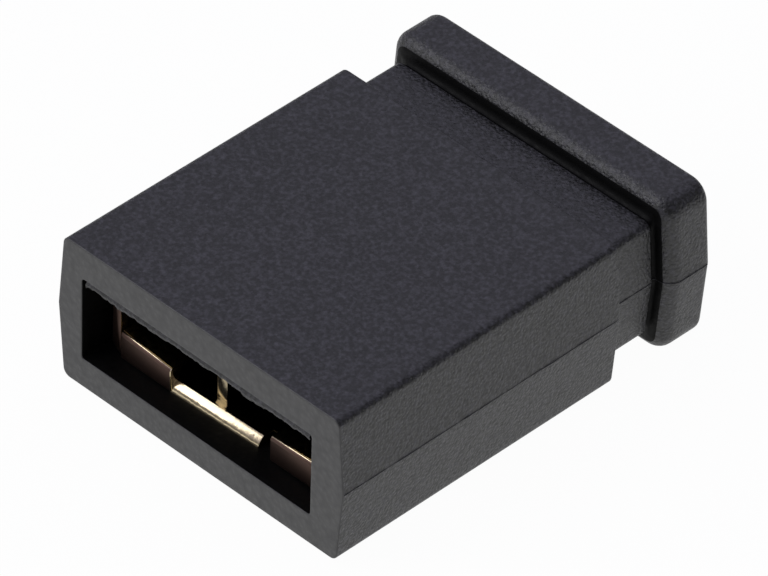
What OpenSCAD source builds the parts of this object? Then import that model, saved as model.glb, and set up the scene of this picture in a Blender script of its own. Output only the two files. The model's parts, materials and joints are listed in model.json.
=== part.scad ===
// Two-way jumper shunt for 0.64 mm square pins on a 2.54 mm grid.
// A moulded housing with a finger grip holds one stamped and folded contact strip.
// X runs along the row of pins, +Y points from the mouth to the grip, +Z is up.
// The origin is the middle of the footprint, on the surface that the part lies on.

/* [Housing body] */
// Width of the body across its parting line, ridge left out
body_w = 4.97; // [4.8:0.01:5.2]
// Height of the body
body_h = 2.22; // [2.1:0.01:2.5]
// Length of the body, from the mouth to the middle of the shoulder
body_l = 4.82; // [4.8:0.01:6.5]
// Draft of the side walls, each way from the parting line, in degrees
draft = 4.85; // [0:0.1:6]
// Rounding of the long edges of the body and the neck
edge_r = 0.11; // [0.02:0.01:0.15]

/* [Neck] */
// Length of the neck, from the middle of the shoulder to the grip
neck_l = 0.82; // [0.6:0.01:2]
// Depth of the neck below the body on all four sides
neck_inset = 0.21; // [0.05:0.01:0.3]
// Radius that rolls the shoulder over the body's back edges
shoulder_r = 0.15; // [0.05:0.01:0.2]
// Radius of the hollow where the shoulder runs out on the neck
neck_fillet_r = 0.15; // [0.05:0.01:0.2]
// Width of the relief groove at the foot of the grip
groove_w = 0.09; // [0.04:0.01:0.15]
// Depth of the relief groove at the foot of the grip
groove_d = 0.05; // [0.01:0.01:0.1]

/* [Finger grip] */
// Width of the grip across its parting line, ridge left out
grip_w = 5.01; // [4.8:0.01:5.2]
// Height of the grip
grip_h = 2.42; // [2.3:0.01:2.6]
// Thickness of the grip
grip_t = 0.74; // [0.5:0.01:1.2]
// Corner radius of the grip, seen from the back
grip_corner_r = 0.29; // [0.25:0.01:0.4]
// Rounding of the grip's back edges
grip_edge_r = 0.1; // [0.05:0.01:0.2]
// Rounding of the grip's front edges, which meet the groove
grip_front_r = 0.22; // [0.05:0.01:0.24]

/* [Parting line] */
// Height of the fine ridge that the two mould halves leave
ridge_h = 0.015; // [0.005:0.001:0.03]
// Width of the ridge at its root
ridge_w = 0.05; // [0.02:0.01:0.1]

/* [Mouth and cavity] */
// Width of the mouth
mouth_w = 4.0; // [3.9:0.01:4.2]
// Height of the mouth
mouth_h = 1.28; // [1.25:0.01:1.5]
// Wall under the cavity
floor_t = 0.45; // [0.3:0.01:0.5]
// Sideways offset of the mould's core, which leaves one rim thicker
core_shift = -0.07; // [-0.1:0.01:0.1]
// Depth of the blind cavity behind the mouth
cavity_l = 4.3; // [4:0.01:4.5]
// Corner radius of the cavity
cavity_r = 0.05; // [0.02:0.01:0.1]

/* [Contact strip] */
// Distance between the two pins
pitch = 2.54; // [2.5:0.01:2.56]
// Thickness of the strip
strip_t = 0.15; // [0.1:0.01:0.16]
// Gap between the strip and each side wall of the cavity
side_gap = 0.13; // [0.05:0.01:0.2]
// Gap between the strip and the roof of the cavity
roof_gap = 0.05; // [0.02:0.01:0.1]
// Gap between the strip's back bend and the end of the cavity
back_gap = 0.1; // [0.02:0.01:0.2]
// Inner radius of the tight bends
bend_r = 0.03; // [0.01:0.01:0.04]
// Inner radius of the back bend's corners
back_bend_r = 0.2; // [0.1:0.01:0.4]

/* [Spring leaves] */
// Width of each spring leaf
leaf_w = 0.88; // [0.7:0.01:0.9]
// Distance from the mouth to the folded front of the lower leaves
leaf_front = 0.33; // [0.2:0.01:0.6]
// Height of the fold at the front of the lower leaves
fold_h = 0.42; // [0.37:0.01:0.45]
// Outer radius of that sharp fold
fold_r = 0.06; // [0.04:0.01:0.12]
// Length of the lower leaves behind the fold
leaf_l = 1.7; // [1.2:0.01:2.2]
// Rise of the lower leaves behind the fold
leaf_rise = 0.06; // [0.02:0.01:0.12]
// Gap under the free ends of the lower leaves
end_gap = 0.04; // [0.02:0.01:0.08]
// Width of the relief slots beside the lower leaves
slot_w = 0.08; // [0.03:0.01:0.1]
// Length of the relief slots behind the fold
slot_l = 0.15; // [0.05:0.01:0.3]
// Free gap between the lowest point of the upper leaves and the folded fronts
pin_gap = 0.5; // [0.45:0.01:0.6]
// Distance from the mouth to the tips of the upper leaves
tip_front = 0.22; // [0.15:0.01:0.5]
// Radius of the curled tips of the upper leaves
tip_r = 0.2; // [0.18:0.01:0.25]
// Length of the upper deck that carries the upper leaves
deck_l = 1.2; // [0.8:0.01:1.6]

/* [Bridge, tabs and tang] */
// Distance from the mouth to the front edge of the bridge between the leaves
bridge_front = 0.32; // [0.3:0.01:0.6]
// Radius of the rolled front edge of the bridge
bridge_roll_r = 0.22; // [0.2:0.01:0.3]
// Distance from the mouth to the upright side tabs
tab_front = 0.4; // [0.3:0.01:0.8]
// Length of the side tabs
tab_l = 1.2; // [0.6:0.01:1.5]
// Width of the upright tang that holds the strip in the cavity
tang_w = 0.18; // [0.14:0.01:0.4]
// Distance from the mouth to the tang
tang_front = 0.56; // [0.54:0.01:0.7]
// Gap cut round the tang when it is lanced from the floor of the strip
lance_gap = 0.04; // [0.02:0.01:0.08]

/* [Hidden] */

// Steps in a rounded corner, in a bend and in a shoulder
corner_steps = 5;
bend_steps = 8;
profile_steps = 4;
// How far a cutting shape runs past the face it cuts, and two joined shapes into each other
past = 0.1;
overlap = 0.02;

total_l = body_l + neck_l + grip_t;
mouth_y = -total_l / 2;
shoulder_y = mouth_y + body_l;
grip_y = shoulder_y + neck_l;
mid_z = max(body_h, grip_h) / 2;
floor_z = mid_z - body_h / 2 + floor_t;

// Turn of the shoulder: two arcs that meet part way down, or at a right angle with a flat between
shoulder_reach = shoulder_r + neck_fillet_r;
shoulder_turn = neck_inset < shoulder_reach ? acos(1 - neck_inset / shoulder_reach) : 90;

strip_w = mouth_w - 2 * side_gap;
strip_back = mouth_y + cavity_l - back_gap;
strip_top = floor_z + mouth_h - roof_gap;
bend_out_r = bend_r + strip_t;
fold_back = mouth_y + leaf_front + bend_out_r;
leaf_top = floor_z + fold_h;
deck_front = strip_back - deck_l;
tab_back = mouth_y + tab_front + tab_l;
tang_y = mouth_y + tang_front;

// ---- Housing ----

// One corner of a cross-section: an arc from angle a0 to a1 about [x, z]
function corner(x, z, r, a0, a1) =
    [for (i = [0:corner_steps]) let (a = a0 + (a1 - a0) * i / corner_steps) [x + r * cos(a), z + r * sin(a)]];

// Cross-section of width w, height h and corner radius r, drawn in by inset on every side.
// Its sides lean in from a ridged parting line at half height, by the draft angle.
function section(w, h, r, inset) =
    let (half_w = w / 2 - inset,
         zc = h / 2 - inset - r,
         xc = half_w - (r + zc * sin(draft)) / cos(draft),
         root = half_w - ridge_w / 2 * tan(draft),
         side = [[root, -ridge_w / 2], [half_w + ridge_h, 0], [root, ridge_w / 2]])
    concat(side,
           corner(xc, zc, r, draft, 90),
           corner(-xc, zc, r, 90, 180 - draft),
           [for (p = side) -p],
           corner(-xc, -zc, r, 180 + draft, 270),
           corner(xc, -zc, r, 270, 360 - draft));

// Stations of the loft: [y, cross-section]
function body_at(y, inset) = [y, section(body_w, body_h, edge_r, inset)];
function grip_at(y, inset) = [y, section(grip_w, grip_h, grip_corner_r - inset, inset)];

shoulder = [for (i = [0:profile_steps]) let (a = shoulder_turn * i / profile_steps)
    body_at(shoulder_y - shoulder_r * (sin(shoulder_turn) - sin(a)), shoulder_r * (1 - cos(a)))];
hollow = [for (i = [0:profile_steps]) let (a = shoulder_turn * (1 - i / profile_steps))
    body_at(shoulder_y + neck_fillet_r * (sin(shoulder_turn) - sin(a)),
            neck_inset - neck_fillet_r * (1 - cos(a)))];
groove = [body_at(grip_y - groove_w, neck_inset),
          body_at(grip_y - groove_w * 0.6, neck_inset + groove_d),
          body_at(grip_y, neck_inset + groove_d)];
grip_front = [for (i = [0:profile_steps]) let (a = 90 * i / profile_steps)
    grip_at(grip_y + grip_front_r * (1 - cos(a)), grip_front_r * (1 - sin(a)))];
grip_back = [for (i = [0:profile_steps]) let (a = 90 * i / profile_steps)
    grip_at(grip_y + grip_t - grip_edge_r * (1 - sin(a)), grip_edge_r * (1 - cos(a)))];

// Skin through a row of stations, closed at both ends
module loft(stations) {
    n = len(stations[0][1]);
    last = len(stations) - 1;
    points = [for (s = stations) for (p = s[1]) [p[0], s[0], p[1]]];
    walls = [for (k = [0:last - 1]) for (i = [0:n - 1]) let (j = (i + 1) % n)
        [k * n + i, (k + 1) * n + i, (k + 1) * n + j, k * n + j]];
    front = [[for (i = [0:n - 1]) i]];
    back = [[for (i = [n - 1:-1:0]) last * n + i]];
    polyhedron(points = points, faces = concat(front, walls, back), convexity = 4);
}

// Rectangle with rounded corners, centred on the origin
module round_rect(w, h, r) {
    square([w - 2 * r, h], center = true);
    square([w, h - 2 * r], center = true);
    for (sx = [-1, 1], sz = [-1, 1])
        translate([sx * (w / 2 - r), sz * (h / 2 - r)]) circle(r = r, $fn = 24);
}

module cavity() {
    translate([core_shift, mouth_y + cavity_l, floor_z + mouth_h / 2])
        rotate([90, 0, 0])
            linear_extrude(height = cavity_l + past) round_rect(mouth_w, mouth_h, cavity_r);
}

module housing() {
    color([0.13, 0.13, 0.14])
        difference() {
            translate([0, 0, mid_z])
                loft(concat([body_at(mouth_y, 0)], shoulder, hollow, groove, grip_front, grip_back));
            cavity();
        }
}

// ---- Contact ----

// Points of an arc about [y, z]
function arc(y, z, r, a0, a1) =
    [for (i = [0:bend_steps]) let (a = a0 + (a1 - a0) * i / bend_steps) [y + r * cos(a), z + r * sin(a)]];

// Turns a side outline drawn in Y and Z into a plate of width w, centred at x
module plate(points, x, w) {
    translate([x - w / 2, 0, 0])
        rotate([90, 0, 90])
            linear_extrude(height = w) polygon(points);
}

// Flat piece of the strip on the floor of the cavity, from y0 to y1
module floor_plate(w, y0, y1) {
    translate([-w / 2, y0, floor_z]) cube([w, y1 - y0, strip_t]);
}

// Lower leaf: folded up and back at the front, then a low bow with a free end over the floor plate
module lower_leaf(x) {
    crest = fold_back + leaf_l / 2;
    back = fold_back + leaf_l;
    low_end = floor_z + strip_t + end_gap;
    edge = mouth_y + leaf_front + fold_r;
    outside = concat([[fold_back + overlap, floor_z]],
                     arc(edge, floor_z + fold_r, fold_r, 270, 180),
                     arc(edge, leaf_top - fold_r, fold_r, 180, 90),
                     [[crest, leaf_top + leaf_rise], [back, low_end + strip_t]]);
    inside = concat([[back, low_end], [crest, leaf_top + leaf_rise - strip_t]],
                    arc(fold_back, leaf_top - bend_out_r, bend_r, 90, 180),
                    arc(fold_back, floor_z + bend_out_r, bend_r, 180, 270),
                    [[fold_back + overlap, floor_z + strip_t]]);
    plate(concat(outside, inside), x, leaf_w);
}

// Upper leaf: reaches forward and down from the deck to a curled tip over the lower leaf
module upper_leaf(x) {
    y = mouth_y + tip_front + tip_r;
    z = leaf_top + pin_gap + tip_r;
    under = concat(arc(y, z, tip_r, 190, 275), [[deck_front + overlap, strip_top - strip_t]]);
    over = concat([[deck_front + overlap, strip_top]], arc(y, z, tip_r - strip_t, 275, 190));
    plate(concat(under, over), x, leaf_w);
}

// Back bend and upper deck, drawn as one outline
module back_and_deck() {
    out_r = back_bend_r + strip_t;
    y = strip_back - out_r;
    low = floor_z + out_r;
    high = strip_top - out_r;
    outline = concat([[y - overlap, floor_z]],
                     arc(y, low, out_r, 270, 360),
                     arc(y, high, out_r, 0, 90),
                     [[deck_front, strip_top], [deck_front, strip_top - strip_t]],
                     arc(y, high, back_bend_r, 90, 0),
                     arc(y, low, back_bend_r, 360, 270),
                     [[y - overlap, floor_z + strip_t]]);
    plate(outline, 0, strip_w);
}

// Side tab: bent up from an edge of the floor plate; side is -1 or 1
module side_tab(side) {
    x = strip_w / 2 - bend_out_r;
    outline = concat([[x - overlap, floor_z]],
                     arc(x, floor_z + bend_out_r, bend_out_r, 270, 360),
                     [[strip_w / 2, strip_top], [strip_w / 2 - strip_t, strip_top]],
                     arc(x, floor_z + bend_out_r, bend_r, 360, 270),
                     [[x - overlap, floor_z + strip_t]]);
    translate([0, tab_back, 0])
        rotate([90, 0, 0])
            linear_extrude(height = tab_l) polygon([for (p = outline) [side * p[0], p[1]]]);
}

// Bridge between the lower leaves, with a rolled front edge
module bridge() {
    w = pitch - leaf_w - 2 * slot_w;
    front = mouth_y + bridge_front;
    intersection() {
        floor_plate(w, front, front + bridge_roll_r + overlap);
        union() {
            translate([-w / 2, front + bridge_roll_r, floor_z])
                rotate([0, 90, 0]) cylinder(r = bridge_roll_r, h = w, $fn = 96);
            floor_plate(w, front + bridge_roll_r, front + bridge_roll_r + overlap);
        }
    }
}

// Relief slots on both sides of the lower leaf at x
module relief_slots(x) {
    for (side = [-1, 1])
        translate([x + side * (leaf_w + slot_w) / 2 - slot_w / 2, mouth_y, floor_z - past])
            cube([slot_w, leaf_front + bend_out_r + slot_l, fold_h + past]);
}

// Opening that the tang leaves in the floor plate
module lance_window() {
    w = tang_w + 2 * lance_gap;
    translate([-w / 2, tang_y + overlap, floor_z - past])
        cube([w, strip_top - floor_z + lance_gap, strip_t + 2 * past]);
}

// Tang: lanced from the floor plate and bent up to the roof
module tang() {
    translate([-tang_w / 2, tang_y, floor_z]) cube([tang_w, strip_t, strip_top - floor_z]);
}

module contact() {
    color([0.85, 0.66, 0.3])
        translate([core_shift, 0, 0]) {
            difference() {
                union() {
                    floor_plate(strip_w - 2 * bend_out_r, fold_back, strip_back - back_bend_r - strip_t);
                    floor_plate(strip_w, tab_back, strip_back - back_bend_r - strip_t);
                    bridge();
                    back_and_deck();
                    for (side = [-1, 1]) {
                        side_tab(side);
                        lower_leaf(side * pitch / 2);
                        upper_leaf(side * pitch / 2);
                    }
                }
                for (side = [-1, 1]) relief_slots(side * pitch / 2);
                lance_window();
            }
            tang();
        }
}

housing();
contact();
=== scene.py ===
# Looks of a two-way jumper shunt: a moulded housing with a finger grip, and one folded contact strip.
# Laid out as an add-on and run as a script. X runs along the row of pins, +Y from mouth to grip.

import json
import math
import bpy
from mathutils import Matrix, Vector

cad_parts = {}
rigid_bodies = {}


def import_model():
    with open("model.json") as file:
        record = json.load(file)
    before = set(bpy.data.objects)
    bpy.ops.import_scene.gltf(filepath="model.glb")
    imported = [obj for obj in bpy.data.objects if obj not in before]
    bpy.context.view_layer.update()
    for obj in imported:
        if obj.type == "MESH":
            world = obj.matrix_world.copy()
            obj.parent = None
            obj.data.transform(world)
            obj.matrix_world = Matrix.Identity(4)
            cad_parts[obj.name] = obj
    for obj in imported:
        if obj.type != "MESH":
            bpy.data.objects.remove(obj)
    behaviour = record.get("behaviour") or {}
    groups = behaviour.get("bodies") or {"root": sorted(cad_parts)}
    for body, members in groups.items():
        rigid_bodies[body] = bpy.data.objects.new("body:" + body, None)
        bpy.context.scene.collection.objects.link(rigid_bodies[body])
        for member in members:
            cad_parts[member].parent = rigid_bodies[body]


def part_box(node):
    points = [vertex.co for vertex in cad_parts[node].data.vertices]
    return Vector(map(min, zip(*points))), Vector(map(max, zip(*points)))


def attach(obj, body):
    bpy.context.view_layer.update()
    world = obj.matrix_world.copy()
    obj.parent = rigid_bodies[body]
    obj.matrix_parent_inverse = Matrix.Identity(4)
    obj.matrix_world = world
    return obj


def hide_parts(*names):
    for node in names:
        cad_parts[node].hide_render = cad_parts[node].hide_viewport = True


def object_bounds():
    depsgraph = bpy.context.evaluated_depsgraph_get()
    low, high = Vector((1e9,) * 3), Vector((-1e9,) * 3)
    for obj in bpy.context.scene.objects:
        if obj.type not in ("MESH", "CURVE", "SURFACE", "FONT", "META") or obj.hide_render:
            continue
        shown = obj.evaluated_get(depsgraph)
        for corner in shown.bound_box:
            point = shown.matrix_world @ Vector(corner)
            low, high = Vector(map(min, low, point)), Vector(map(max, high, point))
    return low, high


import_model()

from types import SimpleNamespace

import bmesh
import bpy
from bpy.props import FloatProperty, FloatVectorProperty, IntProperty, PointerProperty
from mathutils import Matrix, Vector

bl_info = {
    "name": "Jumper Shunt Looks",
    "version": (1, 0, 0),
    "blender": (4, 5, 0),
    "location": "3D View > Sidebar > Shunt",
    "description": "Builds the moulded housing, the contact strip and the stage of a jumper shunt",
    "category": "Object",
}

CAD_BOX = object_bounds()
HOUSING_LOW, HOUSING_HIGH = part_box("housing")

# Meshes are drawn in millimetres, where Blender's own tools keep their precision, then brought to metres
MM = 0.001
HOUSING_NAME = "housing_shell"
CONTACT_NAME = "contact_strip"
PARTING_NAME = "parting_flash"
MOUTH_FLASH_NAME = "mouth_flash"
BODY = "root"

# Points in each quarter of a moulded cross-section: up the side, round the corner, along the top
SIDE_STEPS = 10
CORNER_STEPS = 8
TOP_STEPS = 22
# Steps in a rounded edge along the loft, and in a bend of the strip
EDGE_STEPS = 8
BEND_STEPS = 12
# Longest stretch of a flat wall between two rings, and how near to an edge a supporting ring lies
RING_GAP = 0.14
SUPPORT = 0.008
# Shares of the way across the rim, and across the back face, at which more rings lie
RIM_SPLITS = (0.06, 0.35, 0.65, 0.94)
BACK_SPLITS = (0.02, 0.2, 0.4, 0.6, 0.8)
# Chamfer at the blind end of the cavity, and the smallest corner that its rings have
END_CHAMFER = 0.03
LEAST_CORNER = 0.01
# Share of the groove's width that its sloping side takes
GROOVE_SLOPE = 0.4
# Steps at the foot of the grip's rounded front that take the groove's material, smooth and with its
# painted shade
SHADED_FOOT_STEPS = 2
# Corners of a fin's section, in order
CORNERS = ("Root Front", "Tip Front", "Tip Back", "Root Back")
# Distance under which points are welded, and step of the pattern from one seed to the next
WELD_DISTANCE = 0.00001
SEED_STEP = 7.3
# Places of the lamps from the middle of the part, in metres
KEY_PLACE = (-0.06, -0.085, 0.075)
FILL_PLACE = (0.11, 0.05, 0.07)
# Material indices on the housing and on the contact
# SHADED_HOLLOW faces take a darker plastic: painted shade in the cavity, the groove and at the grip's
# foot
SKIN, RIM, SHADED_HOLLOW = 0, 1, 2
# SHADED_FRONT faces take a near-black metal: painted shade on the folded fronts
SHADED_FRONT = 1


def length(name, text, value, low=0.0):
    """A size in metres, given here in millimetres."""
    return FloatProperty(
        name=name, description=text, default=value * MM, min=low, unit="LENGTH", precision=6
    )


def turn(name, text, degrees):
    """An angle, given here in degrees."""
    return FloatProperty(
        name=name, description=text, default=math.radians(degrees), subtype="ANGLE"
    )


def share(name, text, value, high=1.0):
    """A plain number from 0 to high."""
    return FloatProperty(name=name, description=text, default=value, min=0.0, max=high)


def colour(name, text, value):
    """A linear colour."""
    return FloatVectorProperty(
        name=name, description=text, default=value, min=0.0, max=1.0, size=3, subtype="COLOR"
    )


# ---- Settings ----


class ShuntHousingSettings(bpy.types.PropertyGroup):
    """Sizes and colours of the moulded housing."""

    body_width: length("Body Width", "Width of the body across its parting line", 4.97)
    body_height: length("Body Height", "Height of the body", 2.22)
    body_length: length("Body Length", "Mouth to the middle of the shoulder", 4.79)
    draft: turn("Draft", "Lean of the side walls, each way from the parting line", 4.85)
    edge_radius: length("Edge Radius", "Rounding of the body's long edges", 0.11)
    rim_radius: length("Rim Radius", "Rounding of the mouth's outer edge", 0.015)
    lip_radius: length("Lip Radius", "Rounding of the mouth's inner edge", 0.012)
    neck_length: length("Neck Length", "Middle of the shoulder to the grip", 0.85)
    neck_inset: length("Neck Inset", "Depth of the neck below the body", 0.21)
    shoulder_radius: length("Shoulder Radius", "Roll of the shoulder", 0.03)
    neck_fillet: length("Neck Fillet", "Hollow where the shoulder meets the neck", 0.15)
    groove_width: length("Groove Width", "Relief groove at the foot of the grip", 0.09)
    groove_depth: length("Groove Depth", "Depth of the relief groove", 0.05)
    grip_width: length("Grip Width", "Width of the grip across its parting line", 5.01)
    grip_height: length("Grip Height", "Height of the grip", 2.42)
    grip_corner: length("Grip Corner Radius", "Corners of the grip, seen from behind", 0.29)
    grip_edge: length("Grip Edge Radius", "Back edges of the grip", 0.1)
    grip_front: length("Grip Front Radius", "Front edges of the grip", 0.22)
    mouth_width: length("Mouth Width", "Width of the mouth", 4.0)
    mouth_height: length("Mouth Height", "Height of the mouth", 1.28)
    floor_thickness: length("Floor Thickness", "Wall under the cavity", 0.45)
    core_shift: length("Core Shift", "Sideways offset of the cavity", -0.07, -1.0)
    cavity_depth: length("Cavity Depth", "Depth of the blind cavity", 4.3)
    cavity_corner: length("Cavity Corner Radius", "Corners of the cavity", 0.05)
    skin_colour: colour("Skin Colour", "Textured plastic", (0.008, 0.0078, 0.0094))
    # Painted light: the rim's base colour is lighter than the skin's, brightening the mouth's face and
    # the parting ridge
    rim_colour: colour("Rim Colour", "Smooth plastic at the mouth", (0.02, 0.02, 0.02))
    # Painted shade: a darker base colour for the cavity, the groove and the grip's foot
    cavity_colour: colour("Cavity Colour", "Plastic inside the cavity", (0.002, 0.002, 0.002))


class ShuntFlashSettings(bpy.types.PropertyGroup):
    """Sizes of the fine flash that moulding leaves."""

    ridge_height: length("Ridge Height", "Height of the flash along the parting line", 0.013)
    ridge_root: length("Ridge Root", "Depth of the parting flash's root in the wall", 0.017)
    ridge_width: length("Ridge Width", "Width of the flash along the parting line", 0.03)
    ridge_wander: length("Ridge Wander", "Sideways wander of the parting flash", 0.02)
    fin_height: length("Fin Height", "Height of the ragged fin under the mouth's roof", 0.06)
    fin_root: length("Fin Root", "Depth of the fin's root in the roof", 0.02)
    fin_depth: length("Fin Depth", "Front of the fin's root behind its lower edge", 0.09)
    fin_thickness: length("Fin Thickness", "Thickness of the fin's root", 0.06)
    fin_edge: length("Fin Edge", "Thickness of the fin's lower edge", 0.01)
    fin_gap: length("Fin Gap", "Crack between the roof's edge and the fin", 0.075)
    fin_set_back: length("Fin Set Back", "Distance of the fin behind the rim", 0.012)
    fin_wander: length("Fin Wander", "Raggedness of the fin", 0.05)
    seed: IntProperty(name="Seed", description="Pattern of the raggedness", default=4, min=0)


class ShuntContactSettings(bpy.types.PropertyGroup):
    """Sizes and colour of the folded contact strip."""

    pitch: length("Pitch", "Distance between the two pins", 2.54)
    thickness: length("Strip Thickness", "Thickness of the strip", 0.15)
    side_gap: length("Side Gap", "Strip to each side wall of the cavity", 0.13)
    roof_gap: length("Roof Gap", "Strip to the roof of the cavity", 0.05)
    back_gap: length("Back Gap", "Back bend to the end of the cavity", 0.1)
    bend_radius: length("Bend Radius", "Inner radius of the tight bends", 0.03)
    back_bend_radius: length("Back Bend Radius", "Inner radius of the back bend", 0.2)
    leaf_width: length("Leaf Width", "Width of each spring leaf", 0.88)
    left_shift: length("Left Shift", "Sideways shift of the left lower leaf", 0.06)
    right_trim: length("Right Trim", "Narrowing of the right lower leaf's inner edge", 0.14)
    left_lean: share("Left Lean", "Rise of the left leaf's crest towards its tab", 0.12)
    right_lean: share("Right Lean", "Rise of the right leaf's crest towards its tab", 0.06)
    leaf_front: length("Leaf Front", "Mouth to the folded front of the lower leaves", 0.33)
    fold_height: length("Fold Height", "Height of the fold", 0.42)
    fold_radius: length("Fold Radius", "Outer radius of the sharp fold", 0.06)
    leaf_length: length("Leaf Length", "Length of the lower leaves behind the fold", 1.7)
    leaf_rise: length("Leaf Rise", "Rise of the lower leaves behind the fold", 0.06)
    end_gap: length("End Gap", "Gap under the free ends of the lower leaves", 0.04)
    slot_width: length("Slot Width", "Relief slots beside the lower leaves", 0.08)
    slot_length: length("Slot Length", "Relief slots behind the fold", 0.15)
    pin_gap: length("Pin Gap", "Free gap between upper and lower leaves", 0.5)
    tip_front: length("Tip Front", "Mouth to the tips of the upper leaves", 0.22)
    tip_radius: length("Tip Radius", "Curl of the upper leaves' tips", 0.2)
    tip_start: turn("Tip Start", "Where the curl starts, about its centre", 190.0)
    tip_end: turn("Tip End", "Where the curl ends, about its centre", 275.0)
    deck_length: length("Deck Length", "Upper deck that carries the upper leaves", 1.2)
    bridge_front: length("Bridge Front", "Mouth to the bridge's front edge", 0.32)
    bridge_skew: share("Bridge Skew", "Forward turn of the bridge's left end", 0.034)
    bridge_behind: length("Bridge Behind", "Backward shift of the bridge's front edge", 0.05)
    bridge_shift: length("Bridge Shift", "Shift of the bridge to the left", 0.05)
    bridge_roll: length("Bridge Roll", "Radius of the bridge's rolled front edge", 0.22)
    roll_start: turn("Roll Start", "Lean of the rolled edge at its foot", 10.0)
    tab_front: length("Tab Front", "Mouth to the upright side tabs", 0.4)
    tab_length: length("Tab Length", "Length of the side tabs", 1.2)
    tang_shift: length("Tang Shift", "Shift of the tang to the left", 0.1)
    tang_width: length("Tang Width", "Width of the upright tang", 0.18)
    tang_front: length("Tang Front", "Mouth to the tang", 0.56)
    edge_rounding: length("Edge Rounding", "Rounding of the sheared edges", 0.012)
    # Painted shade: the plating's colour darkens between these depths, for the shade deeper in the
    # cavity
    bright_depth: length("Bright Depth", "Mouth to where the metal starts to dim", 0.39)
    dim_depth: length("Dim Depth", "Mouth to where the metal is dimmest", 0.69)
    dim_share: share("Dim Share", "Share of the metal's colour that is left there", 0.1)
    # Painted shade: near-black metal on the folded fronts, where they reflect the dark cavity
    bare_colour: colour("Bare Colour", "Dull metal of the sheared fronts", (0.085, 0.055, 0.045))
    plating_colour: colour("Plating Colour", "Plated metal", (0.68, 0.57, 0.38))


class ShuntStageSettings(bpy.types.PropertyGroup):
    """Camera, lights and floor."""

    azimuth: turn("Azimuth", "Camera's turn about the part, from straight before the mouth", 44.053)
    elevation: turn("Elevation", "Camera's height angle", 40.259)
    roll: turn("Roll", "Camera's tilt", -1.694)
    distance: length("Distance", "Camera to the point that it aims at", 115.095)
    aim_x: length("Aim X", "Point that the camera aims at", -0.064, -1.0)
    aim_y: length("Aim Y", "Point that the camera aims at", 0.044, -1.0)
    aim_z: length("Aim Z", "Point that the camera aims at", 1.0348, -1.0)
    focal_length: FloatProperty(
        name="Focal Length", description="Camera's lens", default=437.47, unit="CAMERA"
    )
    floor_colour: colour("Floor Colour", "Pale floor", (0.9, 0.9, 0.9))
    floor_glow: share("Floor Glow", "Share of plain white in the floor's look", 0.97)
    sky_colour: colour("Sky Colour", "Light from above", (0.67, 0.66, 0.80))
    horizon_colour: colour("Horizon Colour", "Light near the horizon", (0.15, 0.15, 0.15))
    sky_height: share("Sky Height", "Height at which the sky has its full light", 0.6)
    shade_start: share("Shade Start", "How far to the right the sky starts to dim", 0.1)
    shade_end: share("Shade End", "How far to the right the sky is dimmest", 0.6)
    shade_side: share("Shade Side", "Share of the sky's light that is left on the right", 0.15)
    key_power: FloatProperty(name="Key Power", description="Main lamp", default=0.06, unit="POWER")
    key_size: length("Key Size", "Side of the main lamp", 90.0)
    fill_power: FloatProperty(name="Fill Power", description="Weak lamp", default=0.004, unit="POWER")
    fill_size: length("Fill Size", "Side of the weak lamp", 100.0)
    floor_radius: length("Floor Radius", "Radius of the round floor", 600.0)
    floor_drop: length("Floor Drop", "Gap between the part and the floor", 0.002)


SETTINGS = {
    "shunt_housing": ShuntHousingSettings,
    "shunt_flash": ShuntFlashSettings,
    "shunt_contact": ShuntContactSettings,
    "shunt_stage": ShuntStageSettings,
}


def in_mm(settings):
    """A group's lengths in millimetres, and its other values as they are."""
    values = {}
    for prop in settings.bl_rna.properties:
        if prop.identifier in ("rna_type", "name"):
            continue
        value = getattr(settings, prop.identifier)
        if prop.type == "FLOAT" and prop.unit == "LENGTH":
            value = value / MM
        values[prop.identifier] = value
    return SimpleNamespace(**values)


def housing_sizes(scene):
    """Sizes of the housing in millimetres, with the places that follow from them."""
    s = in_mm(scene.shunt_housing)
    s.mouth_y = HOUSING_LOW.y / MM
    s.shoulder_y = s.mouth_y + s.body_length
    s.grip_y = s.shoulder_y + s.neck_length
    s.back_y = HOUSING_HIGH.y / MM
    s.mid_z = max(s.body_height, s.grip_height) / 2
    s.floor_z = s.mid_z - s.body_height / 2 + s.floor_thickness
    return s


def contact_sizes(scene):
    """Sizes of the contact in millimetres, with the places that follow from them."""
    h = housing_sizes(scene)
    s = in_mm(scene.shunt_contact)
    s.mouth_y = h.mouth_y
    s.centre_x = h.core_shift
    s.floor_z = h.floor_z
    s.strip_width = h.mouth_width - 2 * s.side_gap
    s.back_y = h.mouth_y + h.cavity_depth - s.back_gap
    s.top_z = h.floor_z + h.mouth_height - s.roof_gap
    s.bend_out = s.bend_radius + s.thickness
    s.fold_y = h.mouth_y + s.leaf_front + s.bend_out
    s.leaf_z = s.floor_z + s.fold_height
    s.deck_y = s.back_y - s.deck_length
    s.tab_back = h.mouth_y + s.tab_front + s.tab_length
    s.tang_y = h.mouth_y + s.tang_front
    return s


# ---- Meshes ----


def link(mesh, name, materials):
    """A new object in the scene with these materials."""
    obj = bpy.data.objects.new(name, mesh)
    bpy.context.scene.collection.objects.link(obj)
    for material in materials:
        obj.data.materials.append(material)
    return obj


def close_mesh(bm, mesh):
    """Turns the normals outwards and writes the mesh."""
    bmesh.ops.recalc_face_normals(bm, faces=bm.faces)
    bm.to_mesh(mesh)
    bm.free()


def finish_piece(obj, nodes=()):
    """Applies obj's modifiers, brings it from millimetres to metres, and hands it to the frame."""
    graph = bpy.context.evaluated_depsgraph_get()
    mesh = bpy.data.meshes.new_from_object(obj.evaluated_get(graph))
    name = obj.name
    bpy.data.objects.remove(obj)
    mesh.name = name
    mesh.transform(Matrix.Scale(MM, 4))
    piece = bpy.data.objects.new(name, mesh)
    bpy.context.scene.collection.objects.link(piece)
    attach(piece, BODY)
    if nodes:
        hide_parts(*nodes)
    return piece


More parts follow.
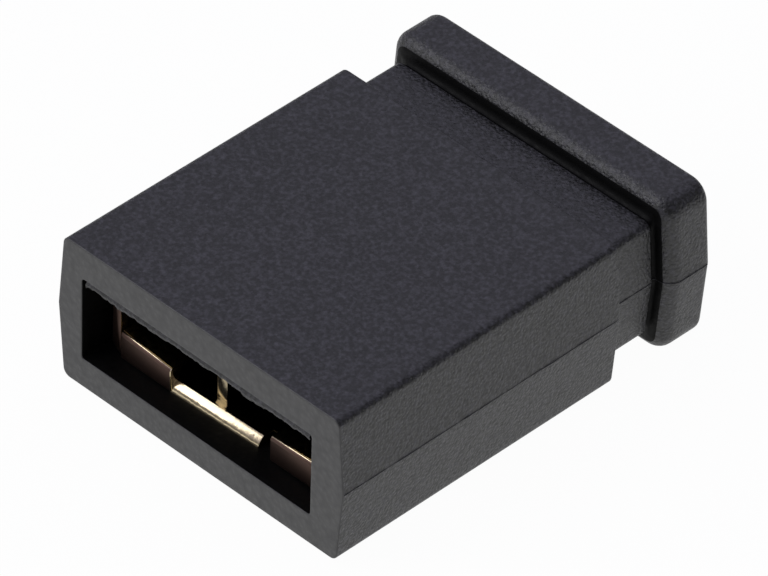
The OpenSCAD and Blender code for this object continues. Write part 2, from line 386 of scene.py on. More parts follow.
def arc(y, z, radius, start, end, steps=BEND_STEPS):
    """Points of an arc about (y, z), angles in degrees."""
    points = []
    for i in range(steps + 1):
        a = math.radians(start + (end - start) * i / steps)
        points.append((y + radius * math.cos(a), z + radius * math.sin(a)))
    return points


def angles(steps, full=math.pi / 2):
    """Angles from 0 to full in even steps."""
    return [full * i / steps for i in range(steps + 1)]


def spread(start, end, gap):
    """Values from start to end, both left out, about gap apart."""
    count = max(1, round(abs(end - start) / gap))
    return [start + (end - start) * i / count for i in range(1, count)]


# ---- Housing ----


def quarter_ring(half_width, corner_x, corner_z, radius, draft):
    """First quarter of a cross-section, from the parting line up the side and along the top."""
    start_x = corner_x + radius * math.cos(draft)
    start_z = corner_z + radius * math.sin(draft)
    points = []
    for i in range(SIDE_STEPS):
        t = i / SIDE_STEPS
        points.append((half_width + (start_x - half_width) * t, start_z * t))
    for turned in angles(CORNER_STEPS, math.pi / 2 - draft):
        a = draft + turned
        points.append((corner_x + radius * math.cos(a), corner_z + radius * math.sin(a)))
    top = corner_z + radius
    first = max(corner_x - SUPPORT, 0)
    for i in range(TOP_STEPS + 1):
        points.append((first * (1 - i / TOP_STEPS), top))
    return points


def full_ring(quarter):
    """The whole cross-section from its first quarter, anticlockwise from the right parting line."""
    forward, backward = quarter[:-1], quarter[:0:-1]
    return (
        [(x, z) for x, z in forward]
        + [(-x, z) for x, z in backward]
        + [(-x, -z) for x, z in forward]
        + [(x, -z) for x, z in backward]
    )


def drafted_ring(s, width, height, radius, inset, y):
    """Outer ring of the housing at y, drawn in by inset on every side."""
    half = width / 2 - inset
    corner_z = height / 2 - inset - radius
    corner_x = half - (radius + corner_z * math.sin(s.draft)) / math.cos(s.draft)
    ring = full_ring(quarter_ring(half, corner_x, corner_z, radius, s.draft))
    return [Vector((x, y, z + s.mid_z)) for x, z in ring]


def cavity_ring(s, inset, y):
    """Ring of the cavity's wall at y, drawn in by inset on every side."""
    half = s.mouth_width / 2 - inset
    radius = max(s.cavity_corner - inset, LEAST_CORNER)
    corner_x = half - radius
    corner_z = s.mouth_height / 2 - inset - radius
    ring = full_ring(quarter_ring(half, corner_x, corner_z, radius, 0.0))
    middle = s.floor_z + s.mouth_height / 2
    return [Vector((x + s.core_shift, y, z + middle)) for x, z in ring]


def body_ring(s, y, inset=0.0):
    """Ring of the body or the neck at y."""
    return drafted_ring(s, s.body_width, s.body_height, s.edge_radius, inset, y)


def grip_ring(s, y, inset=0.0):
    """Ring of the grip at y."""
    radius = s.grip_corner - inset
    return drafted_ring(s, s.grip_width, s.grip_height, radius, inset, y)


def cavity_stations(s):
    """Rings from the blind end of the cavity out to the lip of the mouth."""
    end_y = s.mouth_y + s.cavity_depth
    wall_y = end_y - END_CHAMFER
    stations = [(cavity_ring(s, END_CHAMFER, end_y), SHADED_HOLLOW), (cavity_ring(s, 0.0, wall_y), SHADED_HOLLOW)]
    lip_y = s.mouth_y + s.lip_radius
    for y in spread(wall_y, lip_y, RING_GAP):
        stations.append((cavity_ring(s, 0.0, y), SHADED_HOLLOW))
    for a in angles(EDGE_STEPS // 2):
        y = lip_y - s.lip_radius * math.sin(a)
        stations.append((cavity_ring(s, -s.lip_radius * (1 - math.cos(a)), y), RIM))
    return stations


def rim_stations(s, stations):
    """Rings over the rim of the mouth, from the lip to the rounded outer edge."""
    inner = stations[-1][0]
    outer = body_ring(s, s.mouth_y, s.rim_radius)
    for t in RIM_SPLITS:
        stations.append(([a.lerp(b, t) for a, b in zip(inner, outer)], RIM))
    for a in angles(EDGE_STEPS // 2):
        y = s.mouth_y + s.rim_radius * (1 - math.cos(a))
        stations.append((body_ring(s, y, s.rim_radius * (1 - math.sin(a))), RIM))
    stations[-1] = (stations[-1][0], SKIN)


def shoulder_stations(s, stations):
    """Rings along the body, over the shoulder and along the neck to the groove."""
    reach = s.shoulder_radius + s.neck_fillet
    fits = s.neck_inset < reach
    full = math.acos(1 - s.neck_inset / reach) if fits else math.pi / 2
    shoulder_start = s.shoulder_y - s.shoulder_radius * math.sin(full)
    neck_start = s.shoulder_y + s.neck_fillet * math.sin(full)
    first = s.mouth_y + s.rim_radius
    stations.append((body_ring(s, first + SUPPORT), SKIN))
    for y in spread(first + SUPPORT, shoulder_start - SUPPORT, RING_GAP):
        stations.append((body_ring(s, y), SKIN))
    stations.append((body_ring(s, shoulder_start - SUPPORT), SKIN))
    for a in angles(EDGE_STEPS, full):
        y = s.shoulder_y - s.shoulder_radius * (math.sin(full) - math.sin(a))
        stations.append((body_ring(s, y, s.shoulder_radius * (1 - math.cos(a))), SKIN))
    for a in angles(EDGE_STEPS, full)[-2::-1]:
        y = s.shoulder_y + s.neck_fillet * (math.sin(full) - math.sin(a))
        inset = s.neck_inset - s.neck_fillet * (1 - math.cos(a))
        stations.append((body_ring(s, y, inset), SKIN))
    for y in spread(neck_start, s.grip_y - s.groove_width, RING_GAP):
        stations.append((body_ring(s, y, s.neck_inset), SKIN))


def groove_stations(s, stations):
    """Rings through the relief groove at the foot of the grip."""
    start = s.grip_y - s.groove_width
    for i, a in enumerate(angles(EDGE_STEPS)):
        y = start + s.groove_width * GROOVE_SLOPE * i / EDGE_STEPS
        inset = s.neck_inset + s.groove_depth * (1 - math.cos(a))
        # The groove takes the darker plastic: painted shade in the hollow
        stations.append((body_ring(s, y, inset), SHADED_HOLLOW))
    stations.append((body_ring(s, s.grip_y - SUPPORT, s.neck_inset + s.groove_depth), SHADED_HOLLOW))


def grip_stations(s, stations):
    """Rings up the front of the grip, over it and down to its back face."""
    for i, a in enumerate(angles(EDGE_STEPS)):
        y = s.grip_y + s.grip_front * (1 - math.cos(a))
        # The lowest steps take the groove's darker plastic: painted shade
        index = SHADED_HOLLOW if i < SHADED_FOOT_STEPS else SKIN
        stations.append((grip_ring(s, y, s.grip_front * (1 - math.sin(a))), index))
    start = s.grip_y + s.grip_front
    end = s.back_y - s.grip_edge
    for y in spread(start, end, RING_GAP):
        stations.append((grip_ring(s, y), SKIN))
    for a in angles(EDGE_STEPS):
        y = s.back_y - s.grip_edge * (1 - math.sin(a))
        stations.append((grip_ring(s, y, s.grip_edge * (1 - math.cos(a))), SKIN))
    last = stations[-1][0]
    centre = Vector((0.0, s.back_y, s.mid_z))
    for t in BACK_SPLITS:
        stations.append(([p.lerp(centre, t) for p in last], SKIN))


def skin_loft(stations):
    """Closed mesh through rings that all have as many points, with a face at each end."""
    mesh = bpy.data.meshes.new(HOUSING_NAME)
    bm = bmesh.new()
    rings = [[bm.verts.new(p) for p in points] for points, _ in stations]
    count = len(rings[0])
    for k in range(len(rings) - 1):
        for i in range(count):
            j = (i + 1) % count
            face = bm.faces.new((rings[k][i], rings[k + 1][i], rings[k + 1][j], rings[k][j]))
            face.material_index = stations[k][1]
            face.smooth = True
    for ring, index in ((rings[0], SHADED_HOLLOW), (rings[-1][::-1], SKIN)):
        face = bm.faces.new(ring)
        face.material_index = index
        face.smooth = True
    close_mesh(bm, mesh)
    return mesh


class SHUNT_OT_housing(bpy.types.Operator):
    """Build the moulded housing"""

    bl_idname = "shunt.housing"
    bl_label = "Build Housing"

    def execute(self, context):
        s = housing_sizes(context.scene)
        stations = cavity_stations(s)
        rim_stations(s, stations)
        shoulder_stations(s, stations)
        groove_stations(s, stations)
        grip_stations(s, stations)
        scene = context.scene
        materials = [skin_material(scene), rim_material(scene), shaded_hollow_material(scene)]
        obj = link(skin_loft(stations), HOUSING_NAME, materials)
        finish_piece(obj, ("housing",))
        return {"FINISHED"}


# ---- Geometry node trees ----


def new_group(name, tree_kind, inputs, outputs):
    """A node group with these named sockets: {name: socket type} or {name: (socket type, default)}."""
    tree = bpy.data.node_groups.new(name, tree_kind)
    for label, item in inputs.items():
        kind, default = item if isinstance(item, tuple) else (item, None)
        socket = tree.interface.new_socket(label, in_out="INPUT", socket_type=kind)
        if default is not None:
            socket.default_value = default
    for label, kind in outputs.items():
        tree.interface.new_socket(label, in_out="OUTPUT", socket_type=kind)
    return tree


def new_tree(name, inputs):
    """A geometry node tree for a modifier, with these inputs after its geometry."""
    geometry = {"Geometry": "NodeSocketGeometry"}
    tree = new_group(name, "GeometryNodeTree", {**geometry, **inputs}, geometry)
    tree.is_modifier = True
    return tree


def fill(tree, node, inputs):
    """Sets a node's inputs to values or to other nodes' outputs."""
    for key, value in dict(inputs).items():
        if isinstance(value, bpy.types.NodeSocket):
            tree.links.new(value, node.inputs[key])
        else:
            node.inputs[key].default_value = value


def place(tree, kind, inputs=(), **values):
    """A new node in a tree, with these inputs, and values as its settings."""
    node = tree.nodes.new(kind)
    for key, value in values.items():
        setattr(node, key, value)
    fill(tree, node, inputs)
    return node


def maths(tree, operation, *values):
    """Result of one step of arithmetic."""
    return place(tree, "ShaderNodeMath", dict(enumerate(values)), operation=operation).outputs["Value"]


def vector_maths(tree, operation, inputs):
    """Result of one step of arithmetic on vectors or colours."""
    return place(tree, "ShaderNodeVectorMath", inputs, operation=operation).outputs["Vector"]


def map_range(tree, value, low, high, to_low=0.0, to_high=1.0, **values):
    """A value brought from one range to another."""
    inputs = {"Value": value, "From Min": low, "From Max": high, "To Min": to_low, "To Max": to_high}
    return place(tree, "ShaderNodeMapRange", inputs, **values).outputs["Result"]


def add_tree(obj, tree, values):
    """Puts a tree on obj, with its inputs set by socket identifier."""
    modifier = obj.modifiers.new(tree.name, "NODES")
    modifier.node_group = tree
    for item in tree.interface.items_tree:
        if item.item_type == "SOCKET" and item.in_out == "INPUT" and item.name in values:
            modifier[item.identifier] = values[item.name]


def end_tree(tree, mesh, material):
    """Realizes the instances, sets the material and closes the tree."""
    realize = place(tree, "GeometryNodeRealizeInstances", {"Geometry": mesh})
    look = {"Geometry": realize.outputs["Geometry"], "Material": material}
    finish = place(tree, "GeometryNodeSetMaterial", look)
    place(tree, "NodeGroupOutput", {"Geometry": finish.outputs["Geometry"]})


def ragged_fin_tree():
    """Sweeps a four-sided section along a line, and lets its place and size wander."""
    vector, number = "NodeSocketVector", "NodeSocketFloat"
    tree = new_tree(
        "Ragged Fin",
        {
            **dict.fromkeys(CORNERS, vector),
            "Spacing": (number, 0.03),
            "Wander": vector,
            "Smallest Size": (number, 0.4),
            "Pattern Scale": (number, 6.0),
            "Seed": ("NodeSocketInt", 0),
            "Material": "NodeSocketMaterial",
        },
    )
    source = place(tree, "NodeGroupInput").outputs
    curve = place(tree, "GeometryNodeMeshToCurve", {"Mesh": source["Geometry"]})
    line = {"Curve": curve.outputs["Curve"], "Length": source["Spacing"]}
    even = place(tree, "GeometryNodeResampleCurve", line, mode="LENGTH")
    pattern = {
        "Vector": place(tree, "GeometryNodeInputPosition").outputs["Position"],
        "W": maths(tree, "MULTIPLY", source["Seed"], SEED_STEP),
        "Scale": source["Pattern Scale"],
        "Detail": 4.0,
        "Roughness": 0.65,
    }
    ragged = place(tree, "ShaderNodeTexNoise", pattern, noise_dimensions="4D").outputs
    centred = vector_maths(tree, "SUBTRACT", {0: ragged["Color"], 1: (0.5, 0.5, 0.5)})
    offset = vector_maths(tree, "MULTIPLY", {0: centred, 1: source["Wander"]})
    moved = {"Geometry": even.outputs["Curve"], "Offset": offset}
    wandered = place(tree, "GeometryNodeSetPosition", moved)
    corners = {f"Point {i}": source[label] for i, label in enumerate(CORNERS, 1)}
    section = place(tree, "GeometryNodeCurvePrimitiveQuadrilateral", corners, mode="POINTS")
    swept = {
        "Curve": wandered.outputs["Geometry"],
        "Profile Curve": section.outputs["Curve"],
        "Scale": map_range(tree, ragged["Fac"], 0.4, 0.6, source["Smallest Size"], 1.0),
        "Fill Caps": True,
    }
    sweep = place(tree, "GeometryNodeCurveToMesh", swept)
    end_tree(tree, sweep.outputs["Mesh"], source["Material"])
    return tree


def folded_strip_tree():
    """Sweeps a strip with rounded edges along its folded centre line."""
    number = "NodeSocketFloat"
    tree = new_tree(
        "Folded Strip",
        {
            "Width": (number, 0.88),
            "Thickness": (number, 0.15),
            "Rounding": (number, 0.012),
            "Material": "NodeSocketMaterial",
        },
    )
    source = place(tree, "NodeGroupInput").outputs
    curve = place(tree, "GeometryNodeMeshToCurve", {"Mesh": source["Geometry"]})
    size = {"Width": source["Width"], "Height": source["Thickness"]}
    section = place(tree, "GeometryNodeCurvePrimitiveQuadrilateral", size)
    corners = {"Curve": section.outputs["Curve"], "Count": 3, "Radius": source["Rounding"]}
    rounded = place(tree, "GeometryNodeFilletCurve", corners, mode="POLY")
    swept = {
        "Curve": curve.outputs["Curve"],
        "Profile Curve": rounded.outputs["Curve"],
        "Fill Caps": True,
    }
    sweep = place(tree, "GeometryNodeCurveToMesh", swept)
    end_tree(tree, sweep.outputs["Mesh"], source["Material"])
    return tree


def line_object(name, paths):
    """Object of edges only, one chain for each path of 3-D points."""
    mesh = bpy.data.meshes.new(name)
    points, edges = [], []
    for path in paths:
        start = len(points)
        points.extend(path)
        edges.extend((start + i, start + i + 1) for i in range(len(path) - 1))
    mesh.from_pydata(points, edges, [])
    return link(mesh, name, [])


# ---- Flash ----


def parting_paths(s):
    """Parting line at half height along both sides, from the rim to the back of the grip."""
    stations = [(body_ring(s, s.mouth_y + s.rim_radius), SKIN)]
    shoulder_stations(s, stations)
    groove_stations(s, stations)
    grip_stations(s, stations)
    side = []
    for ring, _ in stations:
        point = ring[0]
        if point.y > s.back_y - s.grip_edge / 2:
            break
        if not side or (point - side[-1]).length > SUPPORT:
            side.append(point)
    return [side, [Vector((-p.x, p.y, p.z)) for p in reversed(side)]]


def make_fin(name, paths, corners, values):
    """Sweeps a ragged fin with these corners along the paths, as one finished piece."""
    obj = line_object(name, paths)
    add_tree(obj, ragged_fin_tree(), {**dict(zip(CORNERS, corners)), **values})
    finish_piece(obj)


class SHUNT_OT_parting_flash(bpy.types.Operator):
    """Build the fine flash along the parting line"""

    bl_idname = "shunt.parting_flash"
    bl_label = "Build Parting Flash"

    def execute(self, context):
        s = housing_sizes(context.scene)
        f = in_mm(context.scene.shunt_flash)
        root, tip = f.ridge_width / 2, f.ridge_width / 10
        corners = (
            (-f.ridge_root, root, 0.0),
            (f.ridge_height, tip, 0.0),
            (f.ridge_height, -tip, 0.0),
            (-f.ridge_root, -root, 0.0),
        )
        values = {
            "Spacing": 0.04,
            "Wander": (0.0, 0.0, f.ridge_wander),
            "Smallest Size": 0.3,
            "Pattern Scale": 3.0,
            "Seed": f.seed,
            "Material": rim_material(context.scene),
        }
        make_fin(PARTING_NAME, parting_paths(s), corners, values)
        return {"FINISHED"}


class SHUNT_OT_mouth_flash(bpy.types.Operator):
    """Build the ragged fin that hangs under the mouth's roof"""

    bl_idname = "shunt.mouth_flash"
    bl_label = "Build Mouth Flash"

    def execute(self, context):
        s = housing_sizes(context.scene)
        f = in_mm(context.scene.shunt_flash)
        half = s.mouth_width / 2 - s.cavity_corner
        roof = s.floor_z + s.mouth_height
        front = s.mouth_y + f.fin_set_back
        path = [(s.core_shift - half, front, roof), (s.core_shift + half, front, roof)]
        corners = (
            (-f.fin_depth, -f.fin_root, 0.0),
            (0.0, f.fin_gap, 0.0),
            (-f.fin_edge, f.fin_gap + f.fin_height, 0.0),
            (-f.fin_depth - f.fin_thickness, -f.fin_root, 0.0),
        )
        values = {
            "Spacing": 0.03,
            "Wander": (0.0, f.fin_set_back, f.fin_wander),
            "Smallest Size": 0.6,
            "Pattern Scale": 4.0,
            "Seed": f.seed,
            "Material": skin_material(context.scene),
        }
        make_fin(MOUTH_FLASH_NAME, [path], corners, values)
        return {"FINISHED"}


# ---- Contact ----


def lower_leaf_outline(s):
    """Side view of a lower leaf: folded up and back at the front, then a low bow."""
    edge_y = s.mouth_y + s.leaf_front + s.fold_radius
    edge_z = s.leaf_z - s.fold_radius
    back = s.fold_y + s.slot_length
    outside = [(back, s.floor_z)]
    outside += arc(edge_y, s.floor_z + s.fold_radius, s.fold_radius, 270, 180)
    outside += arc(edge_y, edge_z, s.fold_radius, 180, 90)
    inside = arc(s.fold_y, s.leaf_z - s.bend_out, s.bend_radius, 90, 180)
    inside += arc(s.fold_y, s.floor_z + s.bend_out, s.bend_radius, 180, 270)
    inside.append((back, s.floor_z + s.thickness))
    end_z = s.floor_z + s.thickness + s.end_gap
    low_z = s.leaf_z - s.thickness
    half_length = s.leaf_length / 2
    bow = []
    for i in range(1, BEND_STEPS + 1):
        t = i / BEND_STEPS
        bow.append((s.fold_y + half_length * t, low_z + s.leaf_rise * math.sin(math.pi / 2 * t)))
    top_z = low_z + s.leaf_rise
    for i in range(1, BEND_STEPS + 1):
        t = i / BEND_STEPS
        drop = (top_z - end_z) * (1 - math.cos(math.pi / 2 * t))
        bow.append((s.fold_y + half_length * (1 + t), top_z - drop))
    over = [(y, z + s.thickness) for y, z in bow]
    return outside + over + bow[::-1] + inside


def upper_leaf_path(s):
    """Centre line of an upper leaf: from the deck forward and down to a curled tip."""
    half = s.thickness / 2
    y = s.mouth_y + s.tip_front + s.tip_radius
    z = s.leaf_z + s.pin_gap + s.tip_radius
    points = arc(y, z, s.tip_radius - half, math.degrees(s.tip_start), math.degrees(s.tip_end))
    end_y, end_z = s.deck_y + s.slot_length, s.top_z - half
    knee_y = s.deck_y
    start_y, start_z = points[-1]
    for i in range(1, BEND_STEPS + 1):
        t = i / BEND_STEPS
        points.append((start_y + (knee_y - start_y) * t, start_z + (end_z - start_z) * t))
    points.append((end_y, end_z))
    return points


def back_path(s):
    """Centre line of the back bend, from the floor plate round to the front of the deck."""
    half = s.thickness / 2
    radius = s.back_bend_radius + half
    y = s.back_y - s.back_bend_radius - s.thickness
    low_z = s.floor_z + s.back_bend_radius + s.thickness
    high_z = s.top_z - s.back_bend_radius - s.thickness
    points = [(y - s.slot_length, s.floor_z + half)]
    points += arc(y, low_z, radius, 270, 360)
    points += arc(y, high_z, radius, 0, 90)
    points.append((s.deck_y, s.top_z - half))
    return points


def strip_object(name, path, centre_x, width, s, material):
    """A folded strip of this width along a centre line drawn in Y and Z."""
    obj = line_object(name, [[(centre_x, y, z) for y, z in path]])
    values = {
        "Width": width,
        "Thickness": s.thickness,
        "Rounding": s.edge_rounding,
        "Material": material,
    }
    add_tree(obj, folded_strip_tree(), values)
    return obj


def prism_object(name, outline, start, end, axes, s, material):
    """A closed outline drawn in two axes and drawn out along the third, with its edges rounded."""
    mesh = bpy.data.meshes.new(name)
    bm = bmesh.new()
    rings = []
    for depth in (start, end):
        ring = []
        for a, b in outline:
            point = [depth, depth, depth]
            point[axes[0]], point[axes[1]] = a, b
            ring.append(bm.verts.new(point))
        rings.append(ring)
    count = len(outline)
    for i in range(count):
        j = (i + 1) % count
        bm.faces.new((rings[0][i], rings[1][i], rings[1][j], rings[0][j]))
    bm.faces.new(rings[0])
    bm.faces.new(rings[1][::-1])
    close_mesh(bm, mesh)
    obj = link(mesh, name, [material])
    bevel = obj.modifiers.new("Sheared Edges", "BEVEL")
    bevel.width = s.edge_rounding
    bevel.segments = 2
    bevel.limit_method = "ANGLE"
    bevel.angle_limit = math.radians(40)
    return obj


def floor_outline(s):
    """Plan of the floor plate behind the slots, with its narrower front between the side tabs."""
    half = s.strip_width / 2
    inner = half - s.bend_out
    back = s.back_y - s.back_bend_radius - s.thickness
    front = s.fold_y + s.slot_length
    return [(-inner, front), (inner, front), (inner, s.tab_back), (half, s.tab_back),
            (half, back), (-half, back), (-half, s.tab_back), (-inner, s.tab_back)]


def bridge_outline(s):
    """Side view of the bridge between the lower leaves, with its rolled front edge."""
    front = s.mouth_y + s.bridge_front
    low = s.roll_start
    high = math.asin((s.thickness + s.bridge_roll * math.sin(low)) / s.bridge_roll)
    points = []
    for turned in angles(BEND_STEPS, high - low):
        a = low + turned
        y = front + s.bridge_roll * (math.cos(low) - math.cos(a))
        z = s.floor_z + s.bridge_roll * (math.sin(a) - math.sin(low))
        points.append((y, z))
    back = s.fold_y + s.slot_length + s.bend_out
    points += [(back, s.floor_z + s.thickness), (back, s.floor_z)]
    return points


def tab_outline(s, side):
    """End view of a side tab, bent up from the floor plate."""
    x = s.strip_width / 2 - s.bend_out
    points = [(x - s.bend_out, s.floor_z)]
    points += arc(x, s.floor_z + s.bend_out, s.bend_out, 270, 360)
    points += [(s.strip_width / 2, s.top_z), (s.strip_width / 2 - s.thickness, s.top_z)]
    points += arc(x, s.floor_z + s.bend_out, s.bend_radius, 360, 270)
    points.append((x - s.bend_out, s.floor_z + s.thickness))
    return [(s.centre_x + side * a, b) for a, b in points]


def leaf_parts(s, side, metal):
    """Lower leaf, upper leaf and side tab of one pin: side is -1 at the left and 1 at the right."""
    x = s.centre_x + side * s.pitch / 2
    start, end = x - s.leaf_width / 2, x + s.leaf_width / 2
    if side < 0:
        label, lean = "left", -s.left_lean
        start, end = start + s.left_shift, end + s.left_shift
    else:
        label, lean = "right", s.right_lean
        start += s.right_trim
    leaf = prism_object(f"lower_{label}", lower_leaf_outline(s), start, end, (1, 2), s, metal)
    for vertex in leaf.data.vertices:
        height = max(vertex.co.z - s.floor_z - s.thickness, 0.0) / s.fold_height
        vertex.co.z += lean * (vertex.co.x - x) * height
    middle, width = (start + end) / 2, end - start
    upper = strip_object(f"upper_{label}", upper_leaf_path(s), middle, width, s, metal)
    tab_ends = (s.mouth_y + s.tab_front, s.tab_back)
    tab = prism_object(f"tab_{label}", tab_outline(s, side), *tab_ends, (0, 2), s, metal)
    return [leaf, upper, tab]


def bridge_part(s, metal):
    """The bridge between the lower leaves, its front edge a little turned."""
    half = (s.pitch - s.leaf_width) / 2 - s.slot_width
    middle = s.centre_x - s.bridge_shift
    ends = (middle - half, middle + half)
    bridge = prism_object("bridge", bridge_outline(s), *ends, (1, 2), s, metal)
    limit = s.mouth_y + s.bridge_front + s.bridge_roll
    for vertex in bridge.data.vertices:
        if vertex.co.y < limit:
            vertex.co.y += s.bridge_behind + s.bridge_skew * (vertex.co.x - s.centre_x)
    return bridge


def tang_part(s, metal):
    """The upright tang, lanced from the floor plate."""
    middle = s.centre_x - s.tang_shift
    ends = (middle - s.tang_width / 2, middle + s.tang_width / 2)
    front, back = s.tang_y, s.tang_y + s.thickness
    outline = [(front, s.floor_z), (back, s.floor_z), (back, s.top_z), (front, s.top_z)]
    return prism_object("tang", outline, *ends, (1, 2), s, metal)


def mark_shaded_fronts(mesh, s):
    """Gives the folded fronts beside the bridge a near-black metal: painted shade where they reflect the
    dark cavity.
    """
    front = (s.mouth_y + s.leaf_front + s.thickness) * MM
    inner = ((s.pitch - s.leaf_width) / 2 + SUPPORT) * MM
    for polygon in mesh.polygons:
        polygon.use_smooth = True
        x, y, _ = polygon.center
        faces_out = polygon.normal.y < -0.6
        if faces_out and y < front and abs(x - s.centre_x * MM) > inner:
            polygon.material_index = SHADED_FRONT


class SHUNT_OT_contact(bpy.types.Operator):
    """Build the folded contact strip"""

    bl_idname = "shunt.contact"
    bl_label = "Build Contact"

    def execute(self, context):
        s = contact_sizes(context.scene)
        metal = plating_material(context.scene)
        parts = leaf_parts(s, -1, metal) + leaf_parts(s, 1, metal)
        parts.append(strip_object("back", back_path(s), s.centre_x, s.strip_width, s, metal))
        parts.append(bridge_part(s, metal))
        parts.append(tang_part(s, metal))
        plan = [(s.centre_x + x, y) for x, y in floor_outline(s)]
        ends = (s.floor_z, s.floor_z + s.thickness)
        base = prism_object(CONTACT_NAME, plan, *ends, (0, 1), s, metal)
        weld_together(base, parts)
        piece = finish_piece(base, ("contact",))
        # Painted shade on the folded fronts, as a second material
        piece.data.materials.append(front_shade_material(context.scene))
        mark_shaded_fronts(piece.data, s)
        piece.data.set_sharp_from_angle(angle=math.radians(30))
        return {"FINISHED"}


def weld_together(base, parts):
    """Joins closed parts into base as one closed mesh, and removes them."""
    group = bpy.data.collections.new("parts_to_weld")
    bpy.context.scene.collection.children.link(group)
    graph = bpy.context.evaluated_depsgraph_get()
    for part in parts:
        mesh = bpy.data.meshes.new_from_object(part.evaluated_get(graph))
        bm = bmesh.new()
        bm.from_mesh(mesh)
        bmesh.ops.remove_doubles(bm, verts=bm.verts, dist=WELD_DISTANCE)
        close_mesh(bm, mesh)
        group.objects.link(bpy.data.objects.new(part.name + "_closed", mesh))
        bpy.data.objects.remove(part)
    join = base.modifiers.new("Weld Together", "BOOLEAN")
    join.operation = "UNION"
    join.operand_type = "COLLECTION"
    join.collection = group
    join.solver = "EXACT"
    join.use_self = True
    graph = bpy.context.evaluated_depsgraph_get()
    mesh = bpy.data.meshes.new_from_object(base.evaluated_get(graph))
    base.modifiers.clear()
    base.data = mesh
    for obj in list(group.objects):
        bpy.data.objects.remove(obj)
    bpy.data.collections.remove(group)


# ---- Shader node groups ----


def group_node(tree, name, build, inputs):
    """Outputs of a shader node group, which is built the first time."""
    group = bpy.data.node_groups.get(name) or build(name)
    return place(tree, "ShaderNodeGroup", inputs, node_tree=group).outputs


def grain_group(name):
    """Fine pits and grains, as a height, and the pits by themselves."""
    tree = new_group(
        name,
        "ShaderNodeTree",
        {
            "Vector": "NodeSocketVector",
            "Grain Size": ("NodeSocketFloat", 0.00005),
            "Pit Depth": ("NodeSocketFloat", 0.6),
        },
        {"Height": "NodeSocketFloat", "Pits": "NodeSocketFloat"},
    )
    source = place(tree, "NodeGroupInput").outputs
    scale = maths(tree, "DIVIDE", 1.0, source["Grain Size"])
    spread_out = {"Vector": source["Vector"], "Scale": scale}
    grains = place(tree, "ShaderNodeTexNoise", {**spread_out, "Detail": 2.0, "Roughness": 0.6})
    cells = place(tree, "ShaderNodeTexVoronoi", spread_out, feature="SMOOTH_F1")
    pits = map_range(tree, cells.outputs["Distance"], 0.1, 0.7)
    height = maths(tree, "MULTIPLY_ADD", pits, source["Pit Depth"], grains.outputs["Fac"])
    place(tree, "NodeGroupOutput", {"Height": height, "Pits": pits})
    return tree


def tone_group(name):
    """Slow patches and fine specks in a colour."""
    tree = new_group(
        name,
        "ShaderNodeTree",
        {
            "Vector": "NodeSocketVector",
            "Colour": ("NodeSocketColor", (0.03, 0.03, 0.03, 1.0)),
            "Patch Size": ("NodeSocketFloat", 0.001),
            "Speck Size": ("NodeSocketFloat", 0.00006),
            "Patch Contrast": ("NodeSocketFloat", 0.1),
            "Speck Contrast": ("NodeSocketFloat", 0.2),
        },
        {"Colour": "NodeSocketColor"},
    )
    source = place(tree, "NodeGroupInput").outputs
    total = 1.0
    for label in ("Patch", "Speck"):
        scale = maths(tree, "DIVIDE", 1.0, source[label + " Size"])
        pattern = {"Vector": source["Vector"], "Scale": scale, "Detail": 3.0}
        texture = place(tree, "ShaderNodeTexNoise", pattern)
        centred = maths(tree, "SUBTRACT", texture.outputs["Fac"], 0.5)
        total = maths(tree, "MULTIPLY_ADD", centred, source[label + " Contrast"], total)
    kept = maths(tree, "MAXIMUM", total, 0.0)
    toned = vector_maths(tree, "SCALE", {0: source["Colour"], "Scale": kept})
    place(tree, "NodeGroupOutput", {"Colour": toned})
    return tree


# ---- Materials ----


def new_material(name):
    """A node material: (material, tree, shader)."""
    material = bpy.data.materials.new(name)
    material.use_nodes = True
    tree = material.node_tree
    return material, tree, tree.nodes["Principled BSDF"]


def textured_material(name, base, tone_values, grain_size, grain_depth, roughness):
    """A material with tone and grain: (material, tree, shader, vector, toned colour)."""
    material, tree, shader = new_material(name)
    vector = place(tree, "ShaderNodeTexCoord").outputs["Object"]
    tone_values = {"Vector": vector, "Colour": (*base, 1.0), **tone_values}
    tone = group_node(tree, "Moulding Tone", tone_group, tone_values)
    grain_values = {"Vector": vector, "Grain Size": grain_size}
    grain = group_node(tree, "Spark Grain", grain_group, grain_values)
    bumps = {"Height": grain["Height"], "Distance": grain_depth, "Strength": 1.0}
    bump = place(tree, "ShaderNodeBump", bumps)
    rough = map_range(tree, grain["Pits"], 0.0, 1.0, *roughness)
    look = {"Base Color": tone["Colour"], "Roughness": rough, "Normal": bump.outputs["Normal"]}
    fill(tree, shader, look)
    return material, tree, shader, vector, tone["Colour"]


def plastic_material(name, base, contrast, grain_size, grain_depth, roughness, gloss=0.5):
    """Moulded plastic with specks of this contrast and a grain of this size and depth, in metres."""
    found = bpy.data.materials.get(name)
    if found:
        return found
    tones = {"Speck Contrast": contrast}
    made = textured_material(name, base, tones, grain_size, grain_depth, roughness)
    material, tree, shader = made[:3]
    fill(tree, shader, {"IOR": 1.56, "Specular IOR Level": gloss})
    return material


def skin_material(scene):
    """Textured outer skin of the housing, and the ragged fin."""
    base = scene.shunt_housing.skin_colour
    return plastic_material("moulded_skin", base, 14.0, 0.000038, 0.000009, (0.37, 0.53))


def shaded_hollow_material(scene):
    """Plastic inside the cavity, in the groove and at the foot of the grip, with a darker base colour
    and weaker gloss: painted shade in these hollows.
    """
    base = scene.shunt_housing.cavity_colour
    return plastic_material("hollow_painted_shade", base, 0.3, 0.00008, 0.000003, (0.42, 0.58), 0.08)


def rim_material(scene):
    """Smooth plastic of the rim and the parting line, its base colour lighter than the skin's: painted
    light.
    """
    base = scene.shunt_housing.rim_colour
    return plastic_material("smooth_plastic", base, 0.3, 0.00008, 0.000003, (0.34, 0.5))


